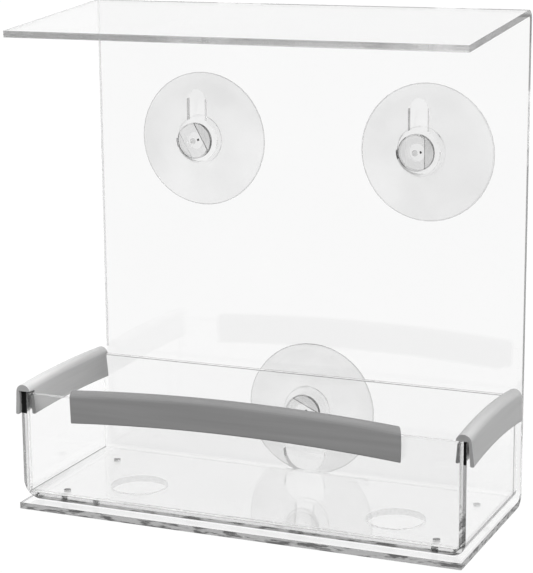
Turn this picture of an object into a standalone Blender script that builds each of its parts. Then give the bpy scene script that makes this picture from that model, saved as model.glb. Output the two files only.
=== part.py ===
# Window bird feeder, in metres, +Z up.
# One clear sheet is bent into a foot, a back panel and a roof. An open seed tray stands on
# the foot and slides out to the front (-Y), with a rubber perch guard over each of its three
# open rims. Three clear suction cups hang in keyholes in the panel and face the window (+Y).
# The origin is the middle of the foot's underside.

import math

import bmesh
import bpy
from mathutils import Matrix, Vector

# Shared by all pieces
touch_gap = 0.0003  # between pieces that touch or slide on each other
cut_overrun = 0.002  # how far a cutter passes the faces that it cuts
weld_distance = 0.00001  # points closer than this become one
quarter_turn = math.radians(90.0)
crease_angle = math.radians(35.0)  # sharper edges than this stay crisp when shaded

# Bent sheet
sheet_width = 0.200
sheet_height = 0.214  # to the corner where the panel and the roof would meet
sheet_wall = 0.0028
foot_depth = 0.086
foot_bend_radius = 0.006  # outer side
roof_length = 0.086
roof_fall = math.radians(5.0)  # the roof sheds water to the front
roof_bend_radius = 0.004  # outer side
bend_steps = 10

# Round holes through the foot
foot_hole_diameter = 0.025
foot_hole_side_inset = 0.040  # from the sheet's side edge to the hole's centre
foot_hole_forward = 0.0062  # in front of the foot's middle
foot_hole_steps = 48

# Suction cups, turned about an axis that points at the viewer
cup_head_diameter = 0.016
cup_head_thickness = 0.0034
cup_head_round = 0.0005
cup_neck_diameter = 0.0078
cup_rim_diameter = 0.060
cup_depth = 0.006  # from the panel's back face to the rim
cup_boss_thickness = 0.0020
cup_boss_round = 0.0005
cup_skirt_root = 0.0013  # thickness beside the boss
cup_skirt_edge = 0.0009  # thickness at the rim
cup_land_width = 0.0013  # flat ring that seals on the glass
cup_steps = 48
cup_skirt_steps = 7

# Grip bar and moulding mark on a cup's head
grip_bar_width = 0.0084
grip_step = 0.0008  # the segments beside the bar lie this much lower
gate_dimple_diameter = 0.0027
gate_dimple_depth = 0.0003
gate_nub_diameter = 0.0010
gate_nub_height = 0.00015
upper_left_turn = math.radians(-29.0)  # how far each cup's bar leans from upright
upper_right_turn = math.radians(0.0)
lower_turn = math.radians(-65.0)

# Keyholes in the panel
keyhole_travel = 0.0185  # from the centre of the round hole up to the seat of the slot
keyhole_head_clearance = 0.0018  # beside the head in the round hole
keyhole_neck_clearance = 0.00045  # beside the neck in the slot
keyhole_boss_overlap = 0.0012  # how far the boss covers the panel round the hole
keyhole_steps = 40
keyhole_seat_steps = 14
upper_keyhole_side_inset = 0.048  # from the sheet's side edge
upper_keyhole_drop = 0.0617  # from the top of the panel to the round hole's centre
lower_keyhole_floor = 0.0040  # lowest point of the lower round hole

# Seed tray
tray_extra_width = 0.001  # it is a little wider than the sheet
tray_depth = 0.0726
tray_height = 0.0479
tray_wall = 0.0028
tray_side_shift = -0.001  # pushed a little to the left on the foot
tray_left_bend_radius = 0.008  # outer side
tray_right_bend_radius = 0.0055
tray_crease_radius = 0.001  # inner side
front_panel_drop = 0.0008  # its top edge is this much lower than the side walls
drain_diameter = 0.003
drain_side_inset = 0.0158  # from the outer face of each side wall
drain_side_shift = 0.001
drain_front_inset = 0.0094
drain_back_inset = 0.0162
drain_steps = 20

# Perch guards, rubber channels pushed over the tray's rims
guard_height = 0.0136
guard_slack = 0.0003  # more room on each side of the wall than the touch gap
guard_leg = 0.0013  # leg thickness under the arch
guard_tip = 0.0017  # leg thickness at the tip
guard_splay = 0.0009  # how far the outer face of each leg spreads down to its tip
guard_tip_round = 0.0005
guard_slot_round = 0.0005
guard_crown = 0.0029  # thickness on top of the wall's edge
guard_arch_steps = 12
guard_corner_steps = 3
front_guard_inset = 0.0255  # from the tray's side to the guard's end
front_guard_bow = 0.0030  # its middle stands this much proud of its ends
front_guard_shift = -0.0006
front_guard_slant = math.radians(30.0)  # its right end is cut askew, with the inner leg shorter
side_guard_overhang = 0.0011  # past the front of the tray
left_guard_back_inset = 0.0017  # short of the back of the tray
left_guard_bow = 0.0010
right_guard_back_inset = 0.0022
right_guard_bow = 0.0020
long_guard_steps = 16
short_guard_steps = 10

# Sizes that follow from the ones above
panel_back = foot_depth / 2
panel_front = panel_back - sheet_wall
keyhole_diameter = cup_head_diameter + 2 * keyhole_head_clearance
keyhole_slot = cup_neck_diameter + 2 * keyhole_neck_clearance
cup_boss_diameter = keyhole_diameter + 2 * keyhole_boss_overlap
lower_keyhole_height = lower_keyhole_floor + keyhole_diameter / 2
upper_keyhole_height = sheet_height - upper_keyhole_drop
upper_keyhole_side = sheet_width / 2 - upper_keyhole_side_inset
tray_width = sheet_width + tray_extra_width
tray_back = panel_front - touch_gap - cup_head_thickness - touch_gap
tray_middle = tray_back - tray_depth / 2
tray_bottom = sheet_wall + touch_gap
side_wall_middle = (tray_width - tray_wall) / 2
guard_slot_half = tray_wall / 2 + touch_gap + guard_slack
guard_arch_radius = guard_slot_half + guard_leg
guard_tip_reach = guard_arch_radius + guard_splay
front_panel_height = tray_height - front_panel_drop
front_guard_length = tray_width - 2 * front_guard_inset
left_guard_length = tray_depth + side_guard_overhang - left_guard_back_inset
right_guard_length = tray_depth + side_guard_overhang - right_guard_back_inset


def clear_scene():
    for item in list(bpy.data.objects):
        bpy.data.objects.remove(item, do_unlink=True)


def new_collection(name):
    group = bpy.data.collections.new(name)
    bpy.context.scene.collection.children.link(group)
    return group


def clear_plastic(name, colour, roughness):
    finish = bpy.data.materials.new(name)
    finish.use_nodes = True
    shader = finish.node_tree.nodes["Principled BSDF"]
    shader.inputs["Base Color"].default_value = (*colour, 1.0)
    shader.inputs["Roughness"].default_value = roughness
    shader.inputs["Metallic"].default_value = 0.0
    shader.inputs["Transmission Weight"].default_value = 0.95
    shader.inputs["IOR"].default_value = 1.49
    finish.diffuse_color = (*colour, 0.4)
    return finish


def soft_rubber(name, colour, roughness):
    finish = bpy.data.materials.new(name)
    finish.use_nodes = True
    shader = finish.node_tree.nodes["Principled BSDF"]
    shader.inputs["Base Color"].default_value = (*colour, 1.0)
    shader.inputs["Roughness"].default_value = roughness
    shader.inputs["Metallic"].default_value = 0.0
    finish.diffuse_color = (*colour, 1.0)
    return finish


def arc(centre, radius, start, end, steps):
    # Points along an arc in a plane, both ends included.
    points = []
    for index in range(steps + 1):
        angle = start + (end - start) * index / steps
        points.append(Vector((centre[0] + radius * math.cos(angle), centre[1] + radius * math.sin(angle))))
    return points


def rounded_path(corners, radii, steps):
    # An open path in a plane whose inner corners are replaced by arcs, one radius for each.
    path = [corners[0]]
    for before, corner, after, radius in zip(corners, corners[1:], corners[2:], radii):
        to_before = (before - corner).normalized()
        to_after = (after - corner).normalized()
        half_angle = to_before.angle(to_after) / 2
        centre = corner + (to_before + to_after).normalized() * radius / math.sin(half_angle)
        spoke = corner + to_before * radius / math.tan(half_angle) - centre
        turn = math.pi - 2 * half_angle
        if to_before.cross(to_after) > 0:
            turn = -turn
        for index in range(steps + 1):
            path.append(centre + Matrix.Rotation(turn * index / steps, 2) @ spoke)
    path.append(corners[-1])
    return path


def inner_corners(corners, wall):
    # The corners of the path that runs one wall to the left of a path.
    directions = [(after - before).normalized() for before, after in zip(corners, corners[1:])]
    normals = [direction.orthogonal() for direction in directions]
    inner = [corners[0] + normals[0] * wall]
    for corner, normal, next_normal in zip(corners[1:], normals, normals[1:]):
        middle = (normal + next_normal).normalized()
        inner.append(corner + middle * wall / middle.dot(normal))
    inner.append(corners[-1] + normals[-1] * wall)
    return inner


def bent_strip(corners, wall, outer_radii, inner_radii):
    # The closed outline of a strip of even thickness bent round the corners of a path.
    outer = rounded_path(corners, outer_radii, bend_steps)
    inner = rounded_path(inner_corners(corners, wall), inner_radii, bend_steps)
    return outer + inner[::-1]


def mesh_from_outline(name, outline, thickness):
    # A closed slab: the outline lies in the mesh's XY plane and the thickness is along Z.
    curve = bpy.data.curves.new(name, "CURVE")
    curve.dimensions = "2D"
    curve.fill_mode = "BOTH"
    curve.extrude = thickness / 2
    spline = curve.splines.new("POLY")
    spline.points.add(len(outline) - 1)
    for point, place in zip(spline.points, outline):
        point.co = (place[0], place[1], 0.0, 1.0)
    spline.use_cyclic_u = True
    guide = bpy.data.objects.new(name, curve)
    bpy.context.scene.collection.objects.link(guide)
    graph = bpy.context.evaluated_depsgraph_get()
    mesh = bpy.data.meshes.new_from_object(guide.evaluated_get(graph))
    bpy.data.objects.remove(guide, do_unlink=True)
    bpy.data.curves.remove(curve)
    edit = bmesh.new()
    edit.from_mesh(mesh)
    bmesh.ops.remove_doubles(edit, verts=edit.verts, dist=weld_distance)
    bmesh.ops.recalc_face_normals(edit, faces=edit.faces)
    edit.to_mesh(mesh)
    edit.free()
    mesh.name = name
    return mesh


def box_mesh(name, boxes):
    # Plain boxes, each given by its lowest and highest corner.
    edit = bmesh.new()
    for low, high in boxes:
        size = Vector(high) - Vector(low)
        middle = (Vector(high) + Vector(low)) / 2
        place = Matrix.Translation(middle) @ Matrix.Diagonal((*size, 1.0))
        bmesh.ops.create_cube(edit, size=1.0, matrix=place)
    mesh = bpy.data.meshes.new(name)
    edit.to_mesh(mesh)
    edit.free()
    return mesh


def rod_mesh(name, places, diameter, length, steps):
    # Upright rods about the given places, half of their length above and half below.
    edit = bmesh.new()
    for place in places:
        bmesh.ops.create_cone(
            edit,
            cap_ends=True,
            segments=steps,
            radius1=diameter / 2,
            radius2=diameter / 2,
            depth=length,
            matrix=Matrix.Translation(place),
        )
    mesh = bpy.data.meshes.new(name)
    edit.to_mesh(mesh)
    edit.free()
    return mesh


def add_piece(name, mesh, group, finish, parent=None):
    piece = bpy.data.objects.new(name, mesh)
    group.objects.link(piece)
    piece.parent = parent
    mesh.materials.clear()
    mesh.materials.append(finish)
    mesh.shade_smooth()
    mesh.set_sharp_from_angle(angle=crease_angle)
    return piece


def add_cutter(name, mesh, group, piece, parent=None):
    cutter = bpy.data.objects.new(name, mesh)
    group.objects.link(cutter)
    cutter.parent = parent
    cutter.hide_render = True
    cutter.display_type = "WIRE"
    cut = piece.modifiers.new(name, "BOOLEAN")
    cut.operation = "DIFFERENCE"
    cut.solver = "EXACT"
    cut.object = cutter
    return cutter


def keyhole_outline():
    # A round hole that the cup's head passes, with a slot above it for the neck.
    hole_radius = keyhole_diameter / 2
    slot_radius = keyhole_slot / 2
    mouth = math.asin(slot_radius / hole_radius)
    hole = arc((0.0, 0.0), hole_radius, quarter_turn + mouth, 5 * quarter_turn - mouth, keyhole_steps)
    seat = arc((0.0, keyhole_travel), slot_radius, 0.0, 2 * quarter_turn, keyhole_seat_steps)
    return hole + seat


def keyhole_places():
    return {
        "upper_left": Vector((-upper_keyhole_side, panel_back, upper_keyhole_height)),
        "upper_right": Vector((upper_keyhole_side, panel_back, upper_keyhole_height)),
        "lower": Vector((0.0, panel_back, lower_keyhole_height)),
    }


def build_sheet(parts, cutters):
    # The path is the sheet's outer face seen from the left: along Y under the foot, up the
    # window side, and forwards and down over the roof.
    roof_front = panel_back - roof_length * math.cos(roof_fall)
    roof_drop = roof_length * math.sin(roof_fall)
    path = [
        Vector((-foot_depth / 2, 0.0)),
        Vector((panel_back, 0.0)),
        Vector((panel_back, sheet_height)),
        Vector((roof_front, sheet_height - roof_drop)),
    ]
    outer_radii = (foot_bend_radius, roof_bend_radius)
    inner_radii = [radius - sheet_wall for radius in outer_radii]
    outline = bent_strip(path, sheet_wall, outer_radii, inner_radii)
    finish = clear_plastic("sheet_acrylic", (0.93, 0.95, 0.95), 0.04)
    sheet = add_piece("bent_sheet", mesh_from_outline("bent_sheet", outline, sheet_width), parts, finish)
    sheet.rotation_euler = (quarter_turn, 0.0, quarter_turn)

    cut_depth = 2 * sheet_wall + 2 * cut_overrun
    for side, place in keyhole_places().items():
        name = side + "_keyhole"
        cutter = add_cutter(name, mesh_from_outline(name, keyhole_outline(), cut_depth), cutters, sheet)
        cutter.location = place
        cutter.rotation_euler = (quarter_turn, 0.0, 0.0)

    hole_side = sheet_width / 2 - foot_hole_side_inset
    holes = [Vector((side * hole_side, -foot_hole_forward, 0.0)) for side in (-1, 1)]
    rods = rod_mesh("foot_holes", holes, foot_hole_diameter, cut_depth, foot_hole_steps)
    add_cutter("foot_holes", rods, cutters, sheet)
    return sheet


def cup_profile():
    # Half section, from the middle of the head's front down its outer side to the hollow's apex.
    # The first number is the distance from the axis, the second the height in front of the
    # panel's back face.
    head_radius = cup_head_diameter / 2
    neck_radius = cup_neck_diameter / 2
    boss_radius = cup_boss_diameter / 2
    rim_radius = cup_rim_diameter / 2
    land_radius = rim_radius - cup_land_width
    dimple_radius = gate_dimple_diameter / 2
    nub_radius = gate_nub_diameter / 2
    head_back = sheet_wall + touch_gap
    head_front = head_back + cup_head_thickness
    dimple_floor = head_front - gate_dimple_depth
    boss_front = -touch_gap
    apex = boss_front - cup_boss_thickness

    points = [
        (0.0, dimple_floor + gate_nub_height),
        (nub_radius, dimple_floor + gate_nub_height),
        (nub_radius + gate_nub_height, dimple_floor),
        (dimple_radius - gate_dimple_depth, dimple_floor),
        (dimple_radius, head_front),
        (head_radius - cup_head_round, head_front),
        (head_radius, head_front - cup_head_round),
        (head_radius, head_back + cup_head_round),
        (head_radius - cup_head_round, head_back),
        (neck_radius, head_back),
        (neck_radius, boss_front),
        (boss_radius - cup_boss_round, boss_front),
        (boss_radius, boss_front - cup_boss_round),
    ]

    def hollow(radius):
        # The hollow side is a shallow bowl between the apex and the sealing land.
        return apex - (cup_depth + apex) * (radius / land_radius) ** 2

    for index in range(cup_skirt_steps + 1):
        share = index / cup_skirt_steps
        radius = boss_radius + (rim_radius - boss_radius) * share
        wall = cup_skirt_root + (cup_skirt_edge - cup_skirt_root) * share
        points.append((radius, max(hollow(min(radius, land_radius)), -cup_depth) + wall))
    points.append((rim_radius, -cup_depth))
    for index in range(cup_skirt_steps + 1):
        radius = land_radius * (1.0 - index / cup_skirt_steps)
        points.append((radius, hollow(radius)))
    return points


def build_cup(name, place, turn, parts, cutters):
    points = cup_profile()
    edges = [(index, index + 1) for index in range(len(points) - 1)]
    mesh = bpy.data.meshes.new(name)
    mesh.from_pydata([(radius, 0.0, height) for radius, height in points], edges, [])
    finish = clear_plastic(name + "_vinyl", (0.90, 0.92, 0.90), 0.10)
    cup = bpy.data.objects.new(name, mesh)
    parts.objects.link(cup)
    mesh.materials.append(finish)
    cup.location = place
    cup.rotation_euler = (quarter_turn, turn, 0.0)
    lathe = cup.modifiers.new("lathe", "SCREW")
    lathe.axis = "Z"
    lathe.steps = cup_steps
    lathe.render_steps = cup_steps
    lathe.use_merge_vertices = True
    lathe.merge_threshold = weld_distance
    lathe.use_smooth_shade = True

    # The two segments of the head beside its grip bar are cut lower.
    reach = cup_head_diameter / 2 + cut_overrun
    half_bar = grip_bar_width / 2
    head_front = sheet_wall + touch_gap + cup_head_thickness
    low = head_front - grip_step
    high = head_front + cut_overrun
    segments = [((side * half_bar, -reach, low), (side * reach, reach, high)) for side in (-1, 1)]
    boxes = [(tuple(map(min, first, last)), tuple(map(max, first, last))) for first, last in segments]
    add_cutter(name + "_grip", box_mesh(name + "_grip", boxes), cutters, cup, cup)
    return cup


def build_tray_shell(tray, parts, cutters):
    # Left wall, floor and right wall are one bent sheet, open at the front and the back.
    half = tray_width / 2
    path = [
        Vector((-half, tray_height)),
        Vector((-half, 0.0)),
        Vector((half, 0.0)),
        Vector((half, tray_height)),
    ]
    outer_radii = (tray_left_bend_radius, tray_right_bend_radius)
    outline = bent_strip(path, tray_wall, outer_radii, (tray_crease_radius, tray_crease_radius))
    finish = clear_plastic("shell_acrylic", (0.92, 0.94, 0.94), 0.05)
    shell = add_piece("tray_shell", mesh_from_outline("tray_shell", outline, tray_depth), parts, finish, tray)
    shell.rotation_euler = (quarter_turn, 0.0, 0.0)

    front = -tray_depth / 2 + drain_front_inset
    back = tray_depth / 2 - drain_back_inset
    drain_side = tray_width / 2 - drain_side_inset
    drains = [Vector((drain_side_shift + side * drain_side, y, 0.0)) for side in (-1, 1) for y in (front, back)]
    cut_length = 2 * tray_wall + 2 * cut_overrun
    rods = rod_mesh("drains", drains, drain_diameter, cut_length, drain_steps)
    add_cutter("drains", rods, cutters, shell, tray)
    return shell


def build_tray_panel(name, middle, high, tray, parts):
    # A flat end panel that stands on the floor between the side walls.
    half = tray_width / 2 - tray_wall - touch_gap
    low = tray_wall + touch_gap
    path = [
        Vector((-half, high)),
        Vector((-half, low)),
        Vector((half, low)),
        Vector((half, high)),
    ]
    outline = rounded_path(path, (tray_crease_radius, tray_crease_radius), bend_steps)
    finish = clear_plastic(name + "_acrylic", (0.92, 0.94, 0.94), 0.05)
    panel = add_piece(name, mesh_from_outline(name, outline, tray_wall), parts, finish, tray)
    panel.location = (0.0, middle, 0.0)
    panel.rotation_euler = (quarter_turn, 0.0, 0.0)
    return panel


def guard_section():
    # Section of a guard: across the wall, and up from the wall's top edge.
    top = touch_gap + guard_crown
    tip = top - guard_height
    tip_slot = guard_tip_reach - guard_tip
    arch = arc((0.0, top - guard_arch_radius), guard_arch_radius, 0.0, 2 * quarter_turn, guard_arch_steps)
    path = [
        arch[-1],
        Vector((-guard_tip_reach, tip)),
        Vector((-tip_slot, tip)),
        Vector((-guard_slot_half, touch_gap)),
        Vector((guard_slot_half, touch_gap)),
        Vector((tip_slot, tip)),
        Vector((guard_tip_reach, tip)),
        arch[0],
    ]
    radii = (guard_tip_round, guard_tip_round, guard_slot_round, guard_slot_round, guard_tip_round, guard_tip_round)
    return arch + rounded_path(path, radii, guard_corner_steps)[1:-1]


def guard_mesh(name, length, bow, steps):
    # The section is swept along an arc, so the guard bows up between its ends.
    radius = (length ** 2 / 4 + bow ** 2) / (2 * bow)
    angle = 2 * math.asin(length / 2 / radius)
    centre = Vector((0.0, 0.0, bow - radius))
    edit = bmesh.new()
    section = [edit.verts.new((0.0, across, bow + up)) for across, up in guard_section()]
    face = edit.faces.new(section)
    bmesh.ops.rotate(edit, cent=centre, matrix=Matrix.Rotation(-angle / 2, 3, "Y"), verts=edit.verts)
    bmesh.ops.spin(
        edit,
        geom=[face] + list(face.edges) + list(face.verts),
        cent=centre,
        axis=(0.0, 1.0, 0.0),
        dvec=(0.0, 0.0, 0.0),
        angle=angle,
        steps=steps,
        use_merge=False,
        use_duplicate=False,
    )
    bmesh.ops.remove_doubles(edit, verts=edit.verts, dist=weld_distance)
    bmesh.ops.recalc_face_normals(edit, faces=edit.faces)
    mesh = bpy.data.meshes.new(name)
    edit.to_mesh(mesh)
    edit.free()
    return mesh


def build_front_guard(tray, parts, cutters):
    finish = soft_rubber("front_guard_rubber", (0.22, 0.22, 0.22), 0.6)
    mesh = guard_mesh("front_edge_guard", front_guard_length, front_guard_bow, long_guard_steps)
    guard = add_piece("front_edge_guard", mesh, parts, finish, tray)
    guard.location = (front_guard_shift, (tray_wall - tray_depth) / 2, front_panel_height)

    # The cut starts at the outer leg's face and leans inwards from there.
    reach = 2 * guard_height
    askew = box_mesh("front_guard_end", [((0.0, -reach, -reach), (reach, reach, reach))])
    cutter = add_cutter("front_guard_end", askew, cutters, guard, tray)
    cutter.location = guard.location + Vector((front_guard_length / 2, -guard_tip_reach, 0.0))
    cutter.rotation_euler = (0.0, 0.0, front_guard_slant)
    return guard


def build_side_guard(name, side, length, bow, tray, parts, cutters):
    # side is -1 for the left wall and 1 for the right one. Both guards lean to the right.
    finish = soft_rubber(name + "_rubber", (0.42, 0.42, 0.42), 0.6)
    guard = add_piece(name, guard_mesh(name, length, bow, short_guard_steps), parts, finish, tray)
    front = -tray_depth / 2 - side_guard_overhang
    back = front + length
    guard.location = (side * side_wall_middle + guard_slack, (front + back) / 2, tray_height)
    guard.rotation_euler = (0.0, 0.0, quarter_turn)

    # The inner leg stops short of the end panels, and the arch runs on over them.
    wall_face = side * (tray_width / 2 - tray_wall)
    leg_clear = side * (side_wall_middle - guard_tip_reach - cut_overrun)
    low = tray_height - guard_height - cut_overrun
    high = tray_height + touch_gap
    panel_reach = tray_depth / 2 - tray_wall - touch_gap
    notches = [
        ((min(wall_face, leg_clear), front - cut_overrun, low), (max(wall_face, leg_clear), -panel_reach, high)),
        ((min(wall_face, leg_clear), panel_reach, low), (max(wall_face, leg_clear), back + cut_overrun, high)),
    ]
    add_cutter(name + "_notches", box_mesh(name + "_notches", notches), cutters, guard, tray)
    return guard


def build_tray(parts, cutters):
    # Everything on the tray hangs from one empty, which slides along Y.
    tray = bpy.data.objects.new("seed_tray", None)
    parts.objects.link(tray)
    tray.location = (tray_side_shift, tray_middle, tray_bottom)
    panel_middle = (tray_depth - tray_wall) / 2
    build_tray_shell(tray, parts, cutters)
    build_tray_panel("tray_front_panel", -panel_middle, front_panel_height, tray, parts)
    build_tray_panel("tray_back_panel", panel_middle, tray_height, tray, parts)
    build_front_guard(tray, parts, cutters)
    build_side_guard("left_edge_guard", -1, left_guard_length, left_guard_bow, tray, parts, cutters)
    build_side_guard("right_edge_guard", 1, right_guard_length, right_guard_bow, tray, parts, cutters)
    return tray


def build_cups(parts, cutters):
    # The upper cups stand in their round holes, the lower one is seated in its slot.
    places = keyhole_places()
    seated = Vector((0.0, 0.0, keyhole_travel))
    build_cup("upper_left_suction_cup", places["upper_left"], upper_left_turn, parts, cutters)
    build_cup("upper_right_suction_cup", places["upper_right"], upper_right_turn, parts, cutters)
    build_cup("lower_suction_cup", places["lower"] + seated, lower_turn, parts, cutters)


def build_feeder():
    clear_scene()
    parts = new_collection("window_bird_feeder")
    cutters = new_collection("cutters")
    build_sheet(parts, cutters)
    build_cups(parts, cutters)
    build_tray(parts, cutters)
    bpy.context.view_layer.update()


build_feeder()
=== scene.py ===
import math
import bmesh
import bpy
from mathutils import Matrix, Vector
from mathutils.bvhtree import BVHTree


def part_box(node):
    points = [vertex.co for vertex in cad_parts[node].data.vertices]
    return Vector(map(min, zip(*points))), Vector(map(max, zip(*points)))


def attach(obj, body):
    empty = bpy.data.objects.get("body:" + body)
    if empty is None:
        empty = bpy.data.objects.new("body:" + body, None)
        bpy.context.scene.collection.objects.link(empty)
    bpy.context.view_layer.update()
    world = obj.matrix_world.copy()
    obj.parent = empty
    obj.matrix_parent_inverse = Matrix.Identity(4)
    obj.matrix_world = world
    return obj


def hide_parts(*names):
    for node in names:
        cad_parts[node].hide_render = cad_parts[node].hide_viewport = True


# Window bird feeder: a bent clear sheet, a seed tray with perch guards and three suction cups.
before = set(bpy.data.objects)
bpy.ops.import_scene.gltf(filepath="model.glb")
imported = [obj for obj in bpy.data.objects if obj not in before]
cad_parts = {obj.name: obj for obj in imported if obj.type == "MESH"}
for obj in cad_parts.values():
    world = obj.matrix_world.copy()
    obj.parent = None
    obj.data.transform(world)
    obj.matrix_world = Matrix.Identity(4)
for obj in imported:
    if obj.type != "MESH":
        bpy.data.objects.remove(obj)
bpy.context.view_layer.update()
scene = bpy.context.scene
print("frame loaded")


class Value:
    # one output socket, so that shader maths reads as arithmetic

    def __init__(self, nodes, socket):
        self.nodes = nodes
        self.socket = socket

    def __add__(self, other):
        return self.nodes.maths("ADD", self, other)

    def __radd__(self, other):
        return self.nodes.maths("ADD", other, self)

    def __sub__(self, other):
        return self.nodes.maths("SUBTRACT", self, other)

    def __rsub__(self, other):
        return self.nodes.maths("SUBTRACT", other, self)

    def __mul__(self, other):
        return self.nodes.maths("MULTIPLY", self, other)

    def __rmul__(self, other):
        return self.nodes.maths("MULTIPLY", other, self)

    def __pow__(self, other):
        return self.nodes.maths("POWER", self, other)

    def __rpow__(self, other):
        return self.nodes.maths("POWER", other, self)


class Nodes:
    # a node tree that is filled from nothing

    def __init__(self, tree):
        self.tree = tree
        tree.nodes.clear()

    def add(self, kind, settings=None, sockets=None):
        node = self.tree.nodes.new("ShaderNode" + kind)
        for name, setting in (settings or {}).items():
            setattr(node, name, setting)
        for name, value in (sockets or {}).items():
            self.feed(node.inputs[name], value)
        return node

    def read(self, kind, output, settings=None, sockets=None):
        return Value(self, self.add(kind, settings, sockets).outputs[output])

    def feed(self, socket, value):
        if isinstance(value, Value):
            self.tree.links.new(value.socket, socket)
        elif socket.type == "RGBA":
            socket.default_value = (*value, 1.0)
        else:
            socket.default_value = value

    def maths(self, operation, *terms):
        node = self.add("Math", {"operation": operation})
        for socket, term in zip(node.inputs, terms):
            self.feed(socket, term)
        return Value(self, node.outputs["Value"])

    def mix(self, share, low, high, way="MIX"):
        # colours, which are the Mix node's third pair of ends
        node = self.add("Mix", {"data_type": "RGBA", "blend_type": way})
        for socket, value in zip((node.inputs[0], node.inputs[6], node.inputs[7]), (share, low, high)):
            self.feed(socket, value)
        return Value(self, node.outputs[2])

    def tinted(self, first, second):
        # one colour seen through another
        return self.mix(1.0, first, second, "MULTIPLY")

    def blend(self, share, first, second):
        # from one shader to another
        node = self.add("MixShader")
        for socket, value in zip(node.inputs, (share, first, second)):
            self.feed(socket, value)
        return Value(self, node.outputs["Shader"])

    def ramp(self, value, ends):
        # 0 to 1 smoothly between two values
        node = self.add("MapRange", {"interpolation_type": "SMOOTHSTEP"}, {"Value": value})
        self.feed(node.inputs["From Min"], ends[0])
        self.feed(node.inputs["From Max"], ends[1])
        return Value(self, node.outputs["Result"])

    def seen(self, path):
        # 1 for rays that show what they hit, 0 for those that only light something
        shown = Value(self, path.outputs["Is Camera Ray"])
        for name in ("Is Glossy Ray", "Is Transmission Ray"):
            shown = self.maths("MAXIMUM", shown, Value(self, path.outputs[name]))
        return shown

    def noise(self, place, scale, detail):
        return self.read("TexNoise", "Fac", {}, {"Vector": place, "Scale": scale, "Detail": detail})


black = (0.0, 0.0, 0.0)
white = (1.0, 1.0, 1.0)


def newMaterial(name):
    material = bpy.data.materials.new(name)
    material.use_nodes = True
    return material, Nodes(material.node_tree)


# The photograph's camera
camera = {
    "place": (0.31396, -0.73322, 0.27511),
    "yaw": math.radians(23.26),
    "pitch": math.radians(-12.53),
    "roll": math.radians(-0.46),
    "focalPixels": 1929.07,
    "imageWidth": 533,
    "sensorWidth": 36.0,
    "nearest": 0.01,
}


def buildCamera():
    lens = bpy.data.cameras.new("photoCamera")
    lens.sensor_fit = "HORIZONTAL"
    lens.sensor_width = camera["sensorWidth"]
    lens.lens = camera["focalPixels"] / camera["imageWidth"] * camera["sensorWidth"]
    lens.clip_start = camera["nearest"]
    holder = bpy.data.objects.new("photoCamera", lens)
    scene.collection.objects.link(holder)
    turns = (
        Matrix.Rotation(camera["yaw"], 4, "Z")
        @ Matrix.Rotation(math.radians(90) + camera["pitch"], 4, "X")
        @ Matrix.Rotation(camera["roll"], 4, "Z")
    )
    holder.matrix_world = Matrix.Translation(camera["place"]) @ turns
    scene.camera = holder


buildCamera()
print("camera placed")

# Pale floor, white surroundings and two soft lights
studio = {
    "seenWhite": 1.0,
    "diffuseWhite": 0.5,
    "floorSize": 6.0,
    "floorGap": 0.0003,
    "floorGlow": 1.04,
    "floorDiffuse": 0.5,
    "floorShare": 0.06,
    "floorColour": (0.42, 0.42, 0.42),
    "topFrom": (0.1, -0.5, 1.0),
    "topStrength": 4.8,
    "sideFrom": (1.0, -0.05, 0.55),
    "sideStrength": 0.95,
    "softness": math.radians(60),
    "darkShare": 0.75,
    "darkHeights": (0.08, 0.22),
    "darkFronts": (0.2, 0.6),
    "bounces": 32,
}


def buildWorld():
    world = bpy.data.worlds.new("studio")
    scene.world = world
    world.use_nodes = True
    nodes = Nodes(world.node_tree)
    path = nodes.add("LightPath")
    seen = nodes.seen(path)
    # the room is dark above the camera, which clear edges pick up as thin dark lines
    course = nodes.add("SeparateXYZ", {}, {"Vector": nodes.read("TexCoord", "Generated")})
    high = nodes.ramp(Value(nodes, course.outputs["Z"]), studio["darkHeights"])
    front = nodes.ramp(-1.0 * Value(nodes, course.outputs["Y"]), studio["darkFronts"])
    inside = 1.0 - Value(nodes, path.outputs["Is Camera Ray"])
    strength = studio["seenWhite"] - high * front * inside * studio["darkShare"]
    lit = nodes.read("Background", 0, {}, {"Color": white, "Strength": studio["diffuseWhite"]})
    shown = nodes.read("Background", 0, {}, {"Color": white, "Strength": strength})
    nodes.add("OutputWorld", {}, {"Surface": nodes.blend(seen, lit, shown)})


def buildFloor():
    half = studio["floorSize"] / 2
    low = -studio["floorGap"]
    mesh = bpy.data.meshes.new("floor")
    corners = [(-half, -half, low), (half, -half, low), (half, half, low), (-half, half, low)]
    mesh.from_pydata(corners, [], [(0, 1, 2, 3)])
    floor = bpy.data.objects.new("floor", mesh)
    scene.collection.objects.link(floor)
    material, nodes = newMaterial("paleFloor")
    seen = nodes.seen(nodes.add("LightPath"))
    strength = studio["floorDiffuse"] + seen * (studio["floorGlow"] - studio["floorDiffuse"])
    glow = nodes.read("Emission", 0, {}, {"Color": white, "Strength": strength})
    matt = nodes.read("BsdfDiffuse", 0, {}, {"Color": studio["floorColour"]})
    nodes.add("OutputMaterial", {}, {"Surface": nodes.blend(studio["floorShare"], glow, matt)})
    mesh.materials.append(material)


def buildLight(name, origin, strength):
    # soft daylight from one side, even over the whole floor and unseen in clear plastic
    light = bpy.data.lights.new(name, "SUN")
    light.angle = studio["softness"]
    light.energy = strength
    lamp = bpy.data.objects.new(name, light)
    scene.collection.objects.link(lamp)
    lamp.rotation_euler = (-Vector(origin)).to_track_quat("-Z", "Y").to_euler()
    lamp.visible_transmission = False
    lamp.visible_glossy = False


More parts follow.
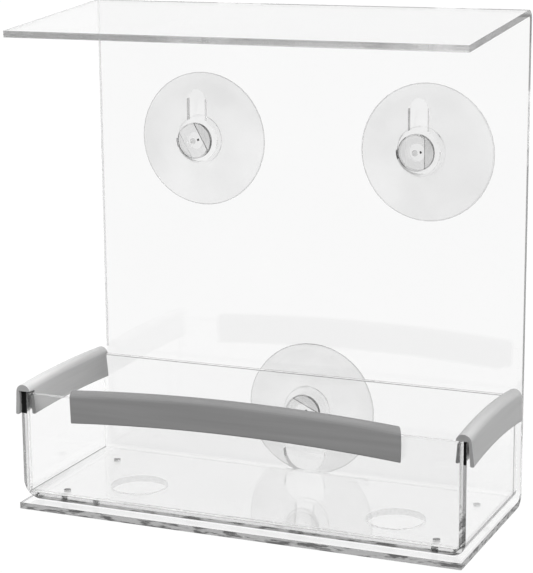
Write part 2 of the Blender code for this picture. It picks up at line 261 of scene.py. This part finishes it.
buildWorld()
buildFloor()
buildLight("topLight", studio["topFrom"], studio["topStrength"])
buildLight("sideLight", studio["sideFrom"], studio["sideStrength"])
scene.view_settings.view_transform = "Standard"
for limit in ("max_bounces", "glossy_bounces", "transmission_bounces"):
    setattr(scene.cycles, limit, studio["bounces"])
print("studio built")

# Materials. Both clear plastics share the first values
clearPlastic = {
    "absorbed": (0.5, 0.5, 0.5),
    "frost": (0.87, 0.87, 0.87),
    "dashPlace": (150.0, 150.0, 700.0),
    "dashEnds": (0.46, 0.62),
    "dashDepth": 0.85,
    "hazeDetail": 4.0,
    "hazePower": 3.0,
    "detail": 2.0,
    "sawnLeast": 0.6,
    "sawnMore": 0.8,
}
acrylic = {
    **clearPlastic,
    "tint": (0.99, 0.99, 0.99),
    "tintLow": (0.97, 0.97, 0.97),
    "sawnRoughness": 0.12,
    "sawScale": 900.0,
    "roughness": 0.0,
    "haze": 0.02,
    "hazeScale": 22.0,
    "refraction": 1.49,
    "gloss": 0.35,
    "density": 3.0,
    "waveScale": 9.0,
    "waveHeight": 0.00008,
}
vinyl = {
    **clearPlastic,
    "tint": (1.0, 1.0, 1.0),
    "tintLow": (0.74, 0.74, 0.74),
    "sawnRoughness": 0.05,
    "sawScale": 300.0,
    "roughness": 0.02,
    "haze": 0.06,
    "hazeScale": 34.0,
    "refraction": 1.52,
    "gloss": 0.5,
    "density": 20.0,
    "waveScale": 140.0,
    "waveHeight": 0.00004,
}
rubber = {
    # the three guards are one rubber: their different greys are painted light and shade, darkest on the
    # front guard and palest on the left one
    "frontDark": (0.115, 0.115, 0.115),
    "frontLight": (0.18, 0.18, 0.18),
    "leftDark": (0.37, 0.37, 0.37),
    "leftLight": (0.54, 0.54, 0.54),
    "rightDark": (0.25, 0.25, 0.25),
    "rightLight": (0.37, 0.37, 0.37),
    "mottleScale": 1.0,
    "mottleDetail": 5.0,
    "across": 420.0,
    "along": 14.0,
    "roughness": 0.42,
    "wear": 0.18,
    # painted shade on the guards' front-facing cut ends: which faces count, and how dark for each guard
    "shadedEndFacing": (0.8, 0.95),
    "frontEnd": 0.0,
    "leftEnd": 0.4,
    "rightEnd": 0.3,
    "grainScale": 2600.0,
    "grainDetail": 2.0,
    "grainHeight": 0.00003,
}


# What each face of a clear piece is marked with, for the materials
marks = ("sawn", "matt", "faint", "dashed", "toneAndShade")


def clearMaterial(name, look):
    material, nodes = newMaterial(name)
    place = nodes.read("TexCoord", "Object")
    haze = nodes.noise(place, look["hazeScale"], look["hazeDetail"])
    wave = nodes.noise(place, look["waveScale"], look["detail"])
    sawn, matt, faint, dashed = (
        nodes.read("Attribute", "Fac", {"attribute_name": mark}) for mark in marks[:-1]
    )
    toneAndShade = nodes.read("Attribute", "Color", {"attribute_name": "toneAndShade"})
    course = nodes.read("Mapping", "Vector", {}, {"Vector": place, "Scale": look["dashPlace"]})
    dashes = nodes.ramp(nodes.noise(course, 1.0, look["detail"]), look["dashEnds"])
    # the faces' tint and painted shade, with dark dashes along the dashed edges
    shade = nodes.mix(dashed * dashes * look["dashDepth"], toneAndShade, black)
    scored = nodes.noise(place, look["sawScale"], look["detail"])
    worn = look["sawnRoughness"] * (look["sawnLeast"] + look["sawnMore"] * scored)
    clear = nodes.read("BsdfPrincipled", "BSDF", {}, {
        "Base Color": nodes.tinted(nodes.mix(haze, look["tintLow"], look["tint"]), shade),
        "Roughness": look["roughness"] + haze ** look["hazePower"] * look["haze"] + sawn * worn,
        "IOR": look["refraction"],
        "Specular IOR Level": look["gloss"],
        "Transmission Weight": 1.0,
        "Alpha": 1.0 - faint,
        "Normal": nodes.read("Bump", "Normal", {}, {
            "Strength": 1.0,
            "Distance": look["waveHeight"],
            "Height": wave,
        }),
    })
    frost = nodes.read("BsdfPrincipled", "BSDF", {}, {
        "Base Color": nodes.tinted(look["frost"], shade),
        "Roughness": 1.0,
        "Specular IOR Level": 0.0,
    })
    inside = nodes.read("VolumeAbsorption", "Volume", {}, {
        "Color": look["absorbed"],
        "Density": look["density"],
    })
    nodes.add("OutputMaterial", {}, {"Surface": nodes.blend(matt, clear, frost), "Volume": inside})
    return material


def rubberMaterial(side, look, stretch):
    # stretch scales the coordinates, small along the guard so that its streaks run that way
    material, nodes = newMaterial(side + "Rubber")
    place = nodes.read("TexCoord", "Object")
    drawn = nodes.read("Mapping", "Vector", {}, {"Vector": place, "Scale": stretch})
    mottle = nodes.noise(drawn, look["mottleScale"], look["mottleDetail"])
    grain = nodes.noise(place, look["grainScale"], look["grainDetail"])
    # painted shade: the cut front ends of the side guards, facing the front, are darkened
    course = nodes.add("SeparateXYZ", {}, {"Vector": nodes.read("NewGeometry", "Normal")})
    end = nodes.ramp(-1.0 * Value(nodes, course.outputs["Y"]), look["shadedEndFacing"])
    # the mottle runs between this guard's own greys, which hold its painted light and shade
    streaksAndLitGrey = nodes.mix(mottle, look[side + "Dark"], look[side + "Light"])
    shader = nodes.read("BsdfPrincipled", "BSDF", {}, {
        "Base Color": nodes.mix(end * look[side + "End"], streaksAndLitGrey, black),
        "Roughness": look["roughness"] + mottle * look["wear"],
        "Normal": nodes.read("Bump", "Normal", {}, {
            "Strength": 1.0,
            "Distance": look["grainHeight"],
            "Height": grain,
        }),
    })
    nodes.add("OutputMaterial", {}, {"Surface": shader})
    return material


clearSheet = clearMaterial("clearSheet", acrylic)
clearVinyl = clearMaterial("clearVinyl", vinyl)
along, across = rubber["along"], rubber["across"]
guards = {
    "front_edge_guard": rubberMaterial("front", rubber, (along, across, across)),
    "left_edge_guard": rubberMaterial("left", rubber, (across, along, across)),
    "right_edge_guard": rubberMaterial("right", rubber, (across, along, across)),
}
print("materials made")

# Clear pieces, each a copy of its CAD node with its edges broken. Lengths are in metres
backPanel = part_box("tray_back_panel")
wall = backPanel[1][1] - backPanel[0][1]
brokenEdge = {
    "sheetWidth": 0.0003,
    "steps": 2,
    "roundness": 0.5,
    "sharp": math.radians(40),
    "creased": math.radians(20),
    "flat": math.radians(1),
    "weld": 0.000005,
    "inset": 0.02,
    "thickest": 2 * wall,
    "holeFace": 0.00001,
    "low": 0.0075,
    "lowKeyhole": 0.1,
    "panelStart": 0.03,
    "holeSlope": 0.01,
    "roofStart": 0.2,
    "seatSlope": 0.1,
    "creaseMiddle": 0.6,
    "bendTop": 0.95,
    "bendStart": 0.03,
    "facing": 0.5,
    # height of the guards' tips, above which the tray walls' front ends are painted black as shade
    "shadedInGuard": 0.0412,
    "trayTop": 0.053,
    "footTop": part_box("tray_shell")[0][2],
    "topReach": wall / 4,
    "backReach": wall / 2,
}


def isSawn(tree, face):
    # a sawn face has no second face close behind any of its corners
    middle = face.calc_center_median()
    for vertex in face.verts:
        start = vertex.co.lerp(middle, brokenEdge["inset"]) - face.normal * brokenEdge["weld"]
        depth = tree.ray_cast(start, -face.normal)[3]
        if depth is not None and depth < brokenEdge["thickest"]:
            return False
    return True


class Marks:
    # the marks on the faces of one piece while it is edited

    def __init__(self, edit):
        self.layers = {name: edit.faces.layers.float.new(name) for name in marks}

    def put(self, face, values):
        for name, value in zip(marks, values):
            face[self.layers[name]] = value


def startPiece(node):
    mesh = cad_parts[node].data.copy()
    mesh.name = node + "_clear"
    edit = bmesh.new()
    edit.from_mesh(mesh)
    bmesh.ops.remove_doubles(edit, verts=edit.verts, dist=brokenEdge["weld"])
    bmesh.ops.dissolve_limit(edit, angle_limit=brokenEdge["flat"], verts=edit.verts, edges=edit.edges)
    return mesh, edit, Marks(edit)


def isSharp(edge):
    return edge.is_manifold and edge.calc_face_angle() > brokenEdge["sharp"]


def breakEdges(edit, edges, width):
    made = bmesh.ops.bevel(
        edit,
        geom=edges,
        offset=width,
        segments=brokenEdge["steps"],
        profile=brokenEdge["roundness"],
        affect="EDGES",
        clamp_overlap=True,
    )
    bmesh.ops.recalc_face_normals(edit, faces=edit.faces)
    return made["faces"]


def addClearPiece(node, mesh, edit, material, body):
    edit.to_mesh(mesh)
    edit.free()
    mesh.materials.clear()
    mesh.materials.append(material)
    mesh.shade_smooth()
    mesh.set_sharp_from_angle(angle=brokenEdge["creased"])
    piece = bpy.data.objects.new(mesh.name, mesh)
    scene.collection.objects.link(piece)
    even = piece.modifiers.new("evenNormals", "WEIGHTED_NORMAL")
    even.keep_sharp = True
    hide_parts(node)
    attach(piece, body)


# How strongly each kind of face is marked, in the order sawn, matt, faint, dashed, tone; the tone is the
# plastic's own grey on faces and sawn edges, and painted shade where it darkens broken edges, creases,
# holes, low edges and right-facing sides
plainMarks = {
    "face": (0.0, 0.0, 0.0, 0.0, 1.0),
    "sawn": (1.0, 0.25, 0.0, 0.0, 0.95),
    "back": (0.5, 0.0, 0.95, 0.0, 1.0),
    # painted shade: right-facing ends, bends and back edges are darkened
    "rightBack": (0.5, 0.9, 0.0, 0.0, 0.15),
    "rightEnd": (0.5, 0.7, 0.0, 0.0, 0.45),
    "rightBend": (0.0, 0.5, 0.0, 0.0, 0.4),
    "top": (1.0, 0.3, 0.0, 0.0, 0.3),
    "level": (0.0, 0.0, 0.0, 0.0, 1.0),
    "under": (0.0, 0.0, 0.0, 0.0, 1.0),
    # painted shade: inner creases are darkened
    "crease": (0.0, 0.8, 0.0, 0.0, 0.15),
    "arris": (1.0, 0.1, 0.0, 0.0, 0.2),
    "hole": (0.0, 0.0, 0.85, 0.0, 1.0),
    # painted shade: the keyholes' left sides and the lower hole's left and bottom are darkened
    "slotLeft": (0.3, 0.3, 0.0, 0.0, 0.2),
    "slotRight": (0.3, 0.1, 0.2, 0.0, 0.8),
    "seat": (0.0, 0.0, 0.9, 0.0, 1.0),
    "round": (0.0, 0.0, 0.5, 0.0, 0.9),
    "lowRound": (0.3, 0.6, 0.0, 0.0, 0.85),
}
clearSheets = {
    "bent_sheet": {
        "body": "sheet",
        "slot": "sheet_acrylic",
        "marks": {
            "face": (0.0, 0.0, 0.0, 0.0, 0.94),
            "crease": (0.0, 0.0, 0.0, 0.0, 0.9),
            "sawn": (1.0, 0.25, 0.0, 0.0, 0.82),
            # painted shade: the roof's right end is darkened
            "roofRight": (1.0, 0.25, 0.0, 0.0, 0.42),
            # painted shade: the foot's cut edge and broken edges are darkened
            "low": (1.0, 0.5, 0.0, 1.0, 0.3),
            "lowArris": (1.0, 0.9, 0.0, 0.0, 0.08),
            "hole": (0.3, 0.3, 0.0, 0.0, 1.0),
            "under": (0.0, 0.0, 0.9, 0.0, 1.0),
        },
    },
    "tray_shell": {
        "body": "tray",
        "slot": "tray_acrylic",
        "marks": {
            "hole": (0.5, 0.5, 0.0, 0.0, 0.3),
            "outerHalf": (1.0, 0.2, 0.0, 0.0, 0.2),
            "innerHalf": (1.0, 0.0, 0.0, 0.0, 0.8),
            # painted shade: the bottom of the tray's front cut face is darkened
            "lowOuter": (1.0, 0.3, 0.0, 1.0, 0.3),
            # painted shade: the walls' front ends inside the guards are black
            "shadedInGuard": (1.0, 1.0, 0.0, 0.0, 0.01),
        },
    },
    "tray_front_panel": {
        "body": "tray",
        "slot": "tray_acrylic",
        "marks": {
            "face": (0.0, 0.0, 0.0, 0.0, 0.985),
            "sawn": (0.5, 0.0, 0.6, 0.0, 1.0),
            "arris": (0.5, 0.0, 0.6, 0.0, 0.8),
        },
    },
    "tray_back_panel": {
        "body": "tray",
        "slot": "tray_acrylic",
        "marks": {"sawn": (0.5, 0.0, 0.8, 0.0, 1.0), "arris": (0.5, 0.0, 0.85, 0.0, 0.9)},
    },
}


def keyholeKind(face):
    # sides of the slot, its rounded top and the round hole below it, with painted shade on the slot's left
    # sides and the left and bottom of the lower round hole
    across = face.normal.xz.normalized()
    if across.y < -brokenEdge["seatSlope"]:
        return "seat"
    if abs(across.x) > math.cos(brokenEdge["creased"]):
        return "slotLeft" if across.x > 0 else "slotRight"
    if face.calc_center_median().z > brokenEdge["lowKeyhole"]:
        return "round"
    return "lowRound" if across.x > -brokenEdge["seatSlope"] else "round"


# Painted shade: the roof's front cut edge is darker toward the left
roofShadeBand = {
    "ends": (-0.08, -0.03, 0.03, 0.08),
    "tones": (0.55, 0.61, 0.68, 0.78, 0.92),
}


def isRoofFront(face):
    return face.normal.y < -brokenEdge["bendTop"] and face.calc_center_median().z > brokenEdge["roofStart"]


def edgeKind(face, low):
    # the sheet's cut edge is dashed and darkened with painted shade at the foot, and doesn't show behind
    # the tray at the left
    middle = face.calc_center_median()
    if middle.z < brokenEdge["footTop"]:
        return "low"
    if middle.z > brokenEdge["roofStart"] and face.normal.x > brokenEdge["facing"]:
        return "roofRight"
    if isRoofFront(face):
        return "roofFront"
    hidden = middle.z < brokenEdge["trayTop"] and middle.x - low.x < brokenEdge["thickest"]
    return "back" if hidden else "sawn"


def arrisKind(face, node, low, high):
    # a broken edge follows the faces that it lies between
    middle = face.calc_center_median()
    if node == "bent_sheet":
        if middle.z < brokenEdge["footTop"] and middle.y < brokenEdge["panelStart"]:
            inner = min(middle.x - low.x, high.x - middle.x, middle.y - low.y)
            return "hole" if inner > brokenEdge["thickest"] else "lowArris"
        inner = min(middle.x - low.x, high.x - middle.x)
        if inner > brokenEdge["thickest"] and middle.y > 0:
            return keyholeKind(face)
        return "back" if edgeKind(face, low) == "back" else "arris"
    elif node == "tray_back_panel":
        return "top" if high.z - middle.z < brokenEdge["topReach"] else "back"
    elif node == "tray_shell" and high.y - middle.y < brokenEdge["backReach"]:
        return "back" if middle.x < 0 else "rightBack"
    return "arris"


def sheetKind(tree, face):
    middle = face.calc_center_median()
    inner = any(edge.is_manifold and not edge.is_convex for edge in face.edges)
    # the keyholes' facets are marked first, because the lower one runs into the bend
    small = face.calc_area() < brokenEdge["holeFace"]
    if small and middle.y > brokenEdge["panelStart"] and abs(face.normal.y) < brokenEdge["holeSlope"]:
        return keyholeKind(face)
    if not isSawn(tree, face):
        if inner and min(abs(face.normal.x), abs(face.normal.z)) > brokenEdge["creaseMiddle"]:
            return "crease"
        if face.normal.x > brokenEdge["bendTop"] and face.normal.z < -brokenEdge["bendStart"]:
            return "rightBend"
        if middle.z < brokenEdge["footTop"] and face.normal.z < -brokenEdge["bendTop"]:
            return "under"
        return "level" if middle.z < brokenEdge["low"] else "face"
    if small:
        return "hole"
    return "back" if face.normal.y > math.cos(brokenEdge["flat"]) else "sawn"


def splitAt(edit, place, normal):
    geometry = edit.verts[:] + edit.edges[:] + edit.faces[:]
    bmesh.ops.bisect_plane(edit, geom=geometry, plane_co=place, plane_no=normal)


def splitRoofFront(edit):
    for place in roofShadeBand["ends"]:
        band = [face for face in edit.faces if isRoofFront(face)]
        parts = dict.fromkeys(part for face in band for part in (*face.verts, *face.edges, face))
        bmesh.ops.bisect_plane(edit, geom=list(parts), plane_co=(place, 0, 0), plane_no=(1, 0, 0))


def roofFrontMarks(face, cut):
    # the cut edge's own marks with the painted shade for this part of the roof
    middle = face.calc_center_median()
    return (*cut[:-1], roofShadeBand["tones"][sum(middle.x > end for end in roofShadeBand["ends"])])


def splitFront(edit, low, high):
    # the tray's front cut face is divided along the middle of its wall and under the guards, where painted
    # shade turns the walls' ends black inside the guards
    half = wall / 2
    cuts = [
        ((low.x + half, 0, 0), (1, 0, 0)),
        ((high.x - half, 0, 0), (1, 0, 0)),
        ((0, 0, low.z + half), (0, 0, 1)),
        ((0, 0, brokenEdge["shadedInGuard"]), (0, 0, 1)),
    ]
    for place, normal in cuts:
        splitAt(edit, place, normal)


def frontKind(face, low, high):
    middle = face.calc_center_median()
    half = wall / 2
    if middle.z > brokenEdge["shadedInGuard"]:
        return "innerHalf" if low.x + wall < middle.x < high.x - half else "shadedInGuard"
    if middle.z < low.z + half:
        return "lowOuter"
    return "outerHalf" if min(middle.x - low.x, high.x - middle.x) < half else "innerHalf"


for node, sheet in clearSheets.items():
    mesh, edit, piece = startPiece(node)
    low, high = (Vector(corner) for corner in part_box(node))
    looks = {**plainMarks, **sheet["marks"]}
    if node == "tray_shell":
        splitFront(edit, low, high)
    if node == "bent_sheet":
        splitAt(edit, (0, 0, brokenEdge["trayTop"]), (0, 0, 1))
        splitAt(edit, (0, 0, brokenEdge["footTop"]), (0, 0, 1))
        splitAt(edit, (0, 0, brokenEdge["roofStart"]), (0, 0, 1))
        splitRoofFront(edit)
    tree = BVHTree.FromBMesh(edit)
    for face in edit.faces:
        kind = sheetKind(tree, face)
        if kind == "sawn" and node == "tray_shell" and face.normal.y < 0:
            kind = frontKind(face, low, high)
        elif kind == "sawn" and node == "bent_sheet":
            kind = edgeKind(face, low)
        elif kind == "sawn" and node == "tray_back_panel" and face.normal.x > brokenEdge["bendTop"]:
            kind = "rightEnd"
        piece.put(face, roofFrontMarks(face, looks["sawn"]) if kind == "roofFront" else looks[kind])
    for face in breakEdges(edit, [edge for edge in edit.edges if isSharp(edge)], brokenEdge["sheetWidth"]):
        piece.put(face, looks[arrisKind(face, node, low, high)])
    addClearPiece(node, mesh, edit, clearSheet, sheet["body"])
print("clear sheets built")

# Suction cups: the soft skirt of each hangs a little to one side of its head
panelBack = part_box("bent_sheet")[1][1]
cups = {
    "upper_left_suction_cup": {"body": "upper_left_cup", "sag": (0.02, -0.05)},
    "upper_right_suction_cup": {"body": "upper_right_cup", "sag": (0.35, -0.20)},
    "lower_suction_cup": {"body": "lower_cup", "sag": (0.08, -0.10)},
}
cupMarks = {
    # painted shade: the head's sides, steps, broken edges and rim are darkened, most on the right and
    # lower sides, and so is the dimple
    "head": (0.0, 0.0, 0.0, 0.0, 1.0),
    "neck": (0.0, 0.0, 0.8, 0.0, 1.0),
    "dimple": (0.3, 0.1, 0.0, 0.0, 0.65),
    "leftStep": (0.0, 0.0, 0.0, 0.0, 0.9),
    "rightStep": (0.0, 0.0, 0.0, 0.0, 0.7),
    "skirt": (0.0, 0.0, 0.0, 0.0, 1.0),
    "leftSide": (0.0, 0.0, 0.0, 0.0, 0.8),
    "rightSide": (0.3, 0.4, 0.0, 0.0, 0.25),
    "lowSide": (0.3, 0.3, 0.0, 0.0, 0.35),
    "gate": (0.0, 0.8, 0.0, 0.0, 0.02),
    "leftArris": (0.5, 0.1, 0.2, 0.0, 0.5),
    "rightArris": (1.0, 0.3, 0.0, 0.0, 0.25),
    "rim": (0.5, 0.1, 0.4, 0.0, 0.7),
}
cupForm = {
    "neck": 0.0042,
    "dimple": 0.0014,
    "gate": 0.0007,
    "gateFace": 0.0009,
    "gateSteps": 1,
    "step": 0.0012,
    "headArris": 0.0005,
    "rimArris": 0.0005,
    "rim": 0.02,
    "longest": 0.006,
    "headDeep": 0.003,
    "sideSlope": 0.25,
}


def sagSkirt(edit, start, sag):
    for vertex in edit.verts:
        depth = max(vertex.co.y - start, 0.0)
        vertex.co.x += sag[0] * depth
        vertex.co.z += sag[1] * depth


def cupReach(face, axis):
    # how far from the cup's axis a face comes
    return max(math.hypot(vertex.co.x - axis.x, vertex.co.z - axis.z) for vertex in face.verts)


def cupKind(face, axis, front):
    middle = face.calc_center_median()
    reach = cupReach(face, axis)
    if middle.y > panelBack:
        return "skirt"
    if reach < cupForm["dimple"]:
        return "dimple"
    if reach < cupForm["neck"]:
        return "neck"
    if brokenEdge["weld"] < middle.y - front < cupForm["step"] and face.normal.y < -brokenEdge["facing"]:
        return "rightStep" if middle.x > axis.x else "leftStep"
    if abs(face.normal.y) < brokenEdge["facing"] and middle.y - front < cupForm["headDeep"]:
        if face.normal.x > cupForm["sideSlope"]:
            return "rightSide"
        return "lowSide" if face.normal.z < -cupForm["sideSlope"] else "leftSide"
    return "head"


for node, cup in cups.items():
    mesh, edit, piece = startPiece(node)
    low, high = (Vector(corner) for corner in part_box(node))
    axis = (low + high) / 2
    for face in edit.faces:
        piece.put(face, cupMarks[cupKind(face, axis, low.y)])
    # the head's broken edges are parted by side, as the right ones take darker painted shade
    rings = {"leftArris": [], "rightArris": [], "rim": []}
    for edge in edit.edges:
        off = (edge.verts[0].co + edge.verts[1].co) / 2 - axis
        away = math.hypot(off.x, off.z)
        if not isSharp(edge) or edge.calc_length() > cupForm["longest"] or away < cupForm["neck"]:
            continue
        if away > cupForm["rim"]:
            rings["rim"].append(edge)
        else:
            rings["rightArris" if off.x > 0 else "leftArris"].append(edge)
    # a small flat at the middle of the cup's back shows through its head as a dark mark
    onAxis = [vertex for vertex in edit.verts if (vertex.co - axis).xz.length < cupForm["gate"]]
    bmesh.ops.bevel(
        edit,
        geom=[max(onAxis, key=lambda vertex: vertex.co.y)],
        offset=cupForm["gate"],
        segments=cupForm["gateSteps"],
        profile=brokenEdge["roundness"],
        affect="VERTICES",
    )
    for face in edit.faces:
        if cupReach(face, axis) < cupForm["gateFace"] and face.calc_center_median().y > panelBack:
            piece.put(face, cupMarks["gate"])
    for name, edges in rings.items():
        width = cupForm["rimArris" if name == "rim" else "headArris"]
        for face in breakEdges(edit, [edge for edge in edges if edge.is_valid], width):
            piece.put(face, cupMarks[name])
    sagSkirt(edit, panelBack, cup["sag"])
    addClearPiece(node, mesh, edit, clearVinyl, cup["body"])
print("suction cups built")

for node, material in guards.items():
    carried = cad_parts[node]
    carried.data.materials.clear()
    carried.data.materials.append(material)
print("guards finished")
